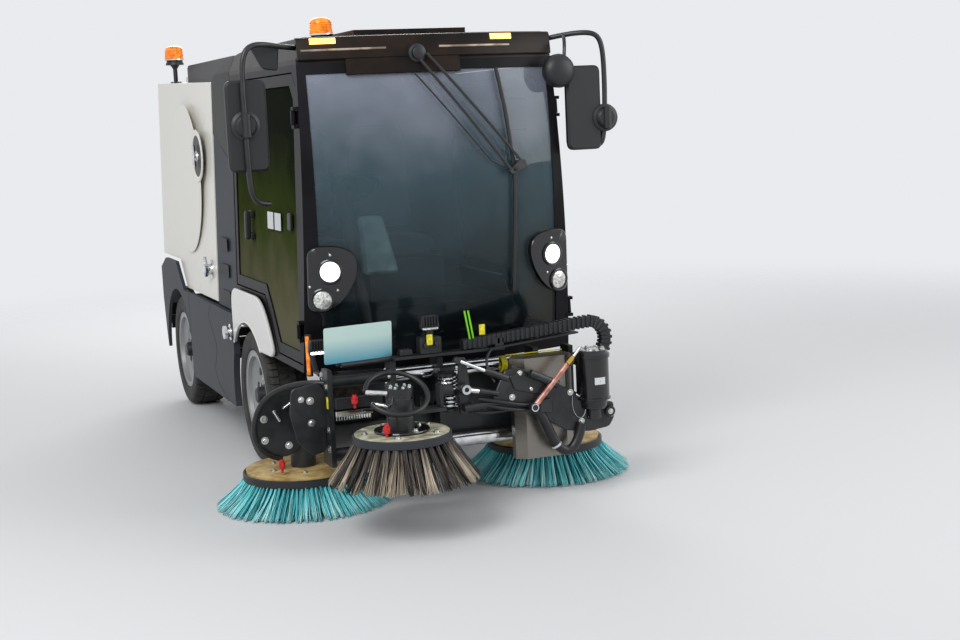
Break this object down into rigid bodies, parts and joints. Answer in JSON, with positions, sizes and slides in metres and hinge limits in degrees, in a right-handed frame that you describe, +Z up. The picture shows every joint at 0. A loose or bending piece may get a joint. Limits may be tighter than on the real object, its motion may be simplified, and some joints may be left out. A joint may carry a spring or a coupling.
{
  "type": "compact street sweeper",
  "caption": "Compact street sweeper with a forward cab, tipping hopper, gutter brushes on slide rods and a raised front brush on a boom.",
  "frame": {"origin": "on the ground, under the middle of the vehicle's box", "axes": "+X towards the vehicle's left, -Y the way it drives, +Z up"},
  "size_m": [1.928, 4.273, 2.1249],
  "materials": {
    "cab_black": "black paint, satin",
    "white_gelcoat": "off-white gelcoat, glossy",
    "hopper_white": "off-white paint over sheet",
    "grey_panel": "dark grey moulded, fine grain",
    "glass": "tinted",
    "chassis_black": "black enamel",
    "cast_iron": "raw casting",
    "tyre": "rubber",
    "rim_paint": "silver paint",
    "chrome": "polished",
    "stainless": "brushed",
    "disc_wood": "raw",
    "bristle_teal": "round bristles",
    "bristle_steel": "worn bristles",
    "black_plastic": "moulded",
    "gloss_black": "glossy",
    "lens": "clear moulded",
    "amber": "ribbed amber",
    "seat_fabric": "grey weave",
    "duct_steel": "dark paint, scuffed"
  },
  "bodies": {
    "root": {"beacon_front": "amber", "cab_roof": "white_gelcoat", "cab_shell": "cab_black", "cable_chain": "black_plastic", "chassis_frame": "chassis_black", "cross_housing": "chassis_black", "engine_block": "cast_iron", "engine_cover": "white_gelcoat", "front_axle": "cast_iron", "front_fenders": "white_gelcoat", "lamp_lenses": "lens", "lamp_pods": "gloss_black", "mirrors": "black_plastic", "rear_arches": "grey_panel", "rear_axle": "cast_iron", "seat_frames": "black_plastic", "seat_pads": "seat_fabric", "side_columns": "grey_panel", "side_skirts": "grey_panel", "slide_sleeves": "chrome", "steel_box": "stainless", "steering": "black_plastic", "suction_unit": "duct_steel", "windscreen": "glass"},
    "hopper": {"hopper_shell": "hopper_white", "hopper_box": "black_plastic", "beacon_rear": "amber"},
    "hopper_door": {"hopper_door": "hopper_white"},
    "tip_barrel": {"tip_barrel": "chassis_black"},
    "tip_rod": {"tip_rod": "chrome"},
    "boom": {"boom": "chassis_black"},
    "boom_carrier": {"boom_carrier": "chassis_black"},
    "front_brush": {"front_disc": "disc_wood", "front_bristles": "bristle_steel"},
    "door_left": {"door_left": "cab_black", "door_glass_left": "glass"},
    "knuckle_left": {"knuckle_left": "cast_iron"},
    "head_left": {"head_left": "chassis_black"},
    "arm_left": {"arm_left": "chassis_black"},
    "carrier_left": {"carrier_left": "chassis_black"},
    "brush_left": {"brush_disc_left": "disc_wood", "bristles_left": "bristle_teal"},
    "wheel_front_left": {"tyre_front_left": "tyre", "rim_front_left": "rim_paint"},
    "wheel_rear_left": {"tyre_rear_left": "tyre", "rim_rear_left": "rim_paint"},
    "door_right": {"door_right": "cab_black", "door_glass_right": "glass"},
    "knuckle_right": {"knuckle_right": "cast_iron"},
    "head_right": {"head_right": "chassis_black"},
    "arm_right": {"arm_right": "chassis_black"},
    "carrier_right": {"carrier_right": "chassis_black"},
    "brush_right": {"brush_disc_right": "disc_wood", "bristles_right": "bristle_teal"},
    "wheel_front_right": {"tyre_front_right": "tyre", "rim_front_right": "rim_paint"},
    "wheel_rear_right": {"tyre_rear_right": "tyre", "rim_rear_right": "rim_paint"}
  },
  "joints": [
    {"name": "door_left", "type": "hinge", "parent": "root", "child": "door_left", "pos_m": [0.614, -1.194, 1.21], "axis": [0.0333, 0, -0.9994], "range_deg": [0, 70]},
    {"name": "door_right", "type": "hinge", "parent": "root", "child": "door_right", "pos_m": [-0.614, -1.194, 1.21], "axis": [0.0333, 0, 0.9994], "range_deg": [0, 70]},
    {"name": "steer_left", "type": "hinge", "parent": "root", "child": "knuckle_left", "pos_m": [0.43, -0.21, 0.326], "axis": [0, 0, 1], "range_deg": [-25, 25]},
    {"name": "steer_right", "type": "hinge", "parent": "root", "child": "knuckle_right", "pos_m": [-0.43, -0.21, 0.326], "axis": [0, 0, 1], "range_deg": [-25, 25]},
    {"name": "wheel_front_left", "type": "hinge", "parent": "knuckle_left", "child": "wheel_front_left", "pos_m": [0.52, -0.21, 0.326], "axis": [1, 0, 0], "continuous": true},
    {"name": "wheel_rear_left", "type": "hinge", "parent": "root", "child": "wheel_rear_left", "pos_m": [0.52, 1.58, 0.326], "axis": [1, 0, 0], "continuous": true},
    {"name": "wheel_front_right", "type": "hinge", "parent": "knuckle_right", "child": "wheel_front_right", "pos_m": [-0.52, -0.21, 0.326], "axis": [1, 0, 0], "continuous": true},
    {"name": "wheel_rear_right", "type": "hinge", "parent": "root", "child": "wheel_rear_right", "pos_m": [-0.52, 1.58, 0.326], "axis": [1, 0, 0], "continuous": true},
    {"name": "hopper_tilt", "type": "hinge", "parent": "root", "child": "hopper", "pos_m": [0, 2, 0.825], "axis": [-1, 0, 0], "range_deg": [0, 50]},
    {"name": "hopper_door", "type": "hinge", "parent": "hopper", "child": "hopper_door", "pos_m": [0, 2.105, 1.925], "axis": [1, 0, 0], "range_deg": [0, 80]},
    {"name": "tip_barrel", "type": "hinge", "parent": "root", "child": "tip_barrel", "pos_m": [0, 0.86, 0.48], "axis": [1, 0, 0], "range_deg": [0, 23.8]},
    {"name": "tip_rod", "type": "slide", "parent": "tip_barrel", "child": "tip_rod", "axis": [0, 0.9502, 0.3118], "range_m": [0, 0.288]},
    {"name": "slide_left", "type": "slide", "parent": "root", "child": "head_left", "axis": [1, 0, 0], "range_m": [0, 0.16]},
    {"name": "slide_right", "type": "slide", "parent": "root", "child": "head_right", "axis": [-1, 0, 0], "range_m": [-0.105, 0.05]},
    {"name": "lift_left", "type": "hinge", "parent": "head_left", "child": "arm_left", "pos_m": [0.509, -1.4, 0.4], "axis": [1, 0, 0], "range_deg": [0, 22]},
    {"name": "level_left", "type": "hinge", "parent": "arm_left", "child": "carrier_left", "pos_m": [0.509, -1.2, 0.33], "axis": [1, 0, 0], "range_deg": [-22, 0]},
    {"name": "brush_spin_left", "type": "hinge", "parent": "carrier_left", "child": "brush_left", "pos_m": [0.52, -1.11, 0.14], "axis": [0, 0, 1], "continuous": true},
    {"name": "lift_right", "type": "hinge", "parent": "head_right", "child": "arm_right", "pos_m": [-0.614, -1.4, 0.4], "axis": [1, 0, 0], "range_deg": [0, 22]},
    {"name": "level_right", "type": "hinge", "parent": "arm_right", "child": "carrier_right", "pos_m": [-0.614, -1.2, 0.33], "axis": [1, 0, 0], "range_deg": [-22, 0]},
    {"name": "brush_spin_right", "type": "hinge", "parent": "carrier_right", "child": "brush_right", "pos_m": [-0.625, -1.11, 0.14], "axis": [0, 0, 1], "continuous": true},
    {"name": "boom_lift", "type": "hinge", "parent": "root", "child": "boom", "pos_m": [-0.175, -1.462, 0.455], "axis": [-1, 0, 0], "range_deg": [-43, 10]},
    {"name": "boom_level", "type": "hinge", "parent": "boom", "child": "boom_carrier", "pos_m": [-0.175, -1.735, 0.54], "axis": [-1, 0, 0], "range_deg": [-10, 43]},
    {"name": "front_brush_spin", "type": "hinge", "parent": "boom_carrier", "child": "front_brush", "pos_m": [-0.4, -1.82, 0.39], "axis": [0, 0, 1], "continuous": true}
  ],
  "couplings": [
    {"joint": "steer_right", "follows": "steer_left", "ratio": 1},
    {"joint": "tip_barrel", "follows": "hopper_tilt", "ratio": 0.474},
    {"joint": "tip_rod", "follows": "hopper_tilt", "m_per_rad": 0.3289},
    {"joint": "level_left", "follows": "lift_left", "ratio": -1},
    {"joint": "level_right", "follows": "lift_right", "ratio": -1},
    {"joint": "boom_level", "follows": "boom_lift", "ratio": -1}
  ]
}
